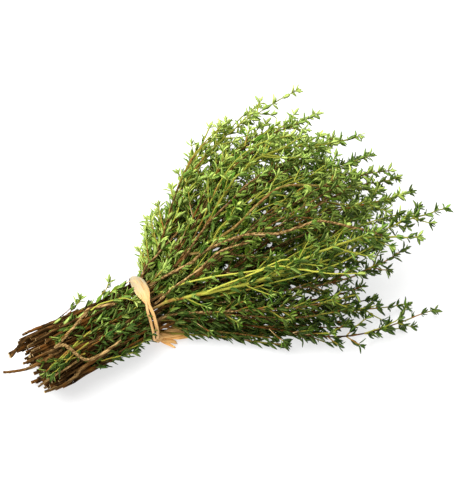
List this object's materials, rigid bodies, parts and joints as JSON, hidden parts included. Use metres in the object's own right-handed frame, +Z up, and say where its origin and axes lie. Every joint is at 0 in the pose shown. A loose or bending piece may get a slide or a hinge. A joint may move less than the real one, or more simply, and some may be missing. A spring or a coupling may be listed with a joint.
{
  "type": "thyme bundle",
  "caption": "Bunch of fresh thyme sprigs with small leaves, gathered at one end by a flat strip of raffia and fanning out at the other.",
  "frame": {"origin": "on the surface the bunch lies on, straight below the tie, at the flat spot of the raffia band that rests there", "axes": "+X from the cut ends to the leafy tips, +Z up, +Y to the left of the tips"},
  "size_m": [0.2346, 0.1671, 0.0709],
  "materials": {
    "thyme_green": "fresh leaves and thin stems, satin",
    "raffia": "dry palm fibre, matt with fine streaks"
  },
  "bodies": {
    "root": {"sprig_01": "thyme_green", "sprig_02": "thyme_green", "sprig_03": "thyme_green", "sprig_04": "thyme_green", "sprig_05": "thyme_green", "sprig_06": "thyme_green", "sprig_07": "thyme_green", "sprig_08": "thyme_green", "sprig_09": "thyme_green", "sprig_10": "thyme_green", "sprig_11": "thyme_green", "sprig_12": "thyme_green", "sprig_13": "thyme_green", "sprig_14": "thyme_green", "sprig_15": "thyme_green", "sprig_16": "thyme_green", "sprig_17": "thyme_green", "sprig_18": "thyme_green", "sprig_19": "thyme_green", "sprig_20": "thyme_green", "sprig_21": "thyme_green", "sprig_22": "thyme_green", "sprig_23": "thyme_green", "sprig_24": "thyme_green", "sprig_25": "thyme_green", "sprig_26": "thyme_green", "sprig_27": "thyme_green", "sprig_28": "thyme_green", "sprig_29": "thyme_green", "sprig_30": "thyme_green", "sprig_31": "thyme_green", "sprig_32": "thyme_green", "sprig_33": "thyme_green", "sprig_34": "thyme_green", "sprig_35": "thyme_green", "sprig_36": "thyme_green", "sprig_37": "thyme_green", "sprig_38": "thyme_green", "sprig_39": "thyme_green", "sprig_40": "thyme_green", "raffia_tie": "raffia"}
  },
  "joints": []
}
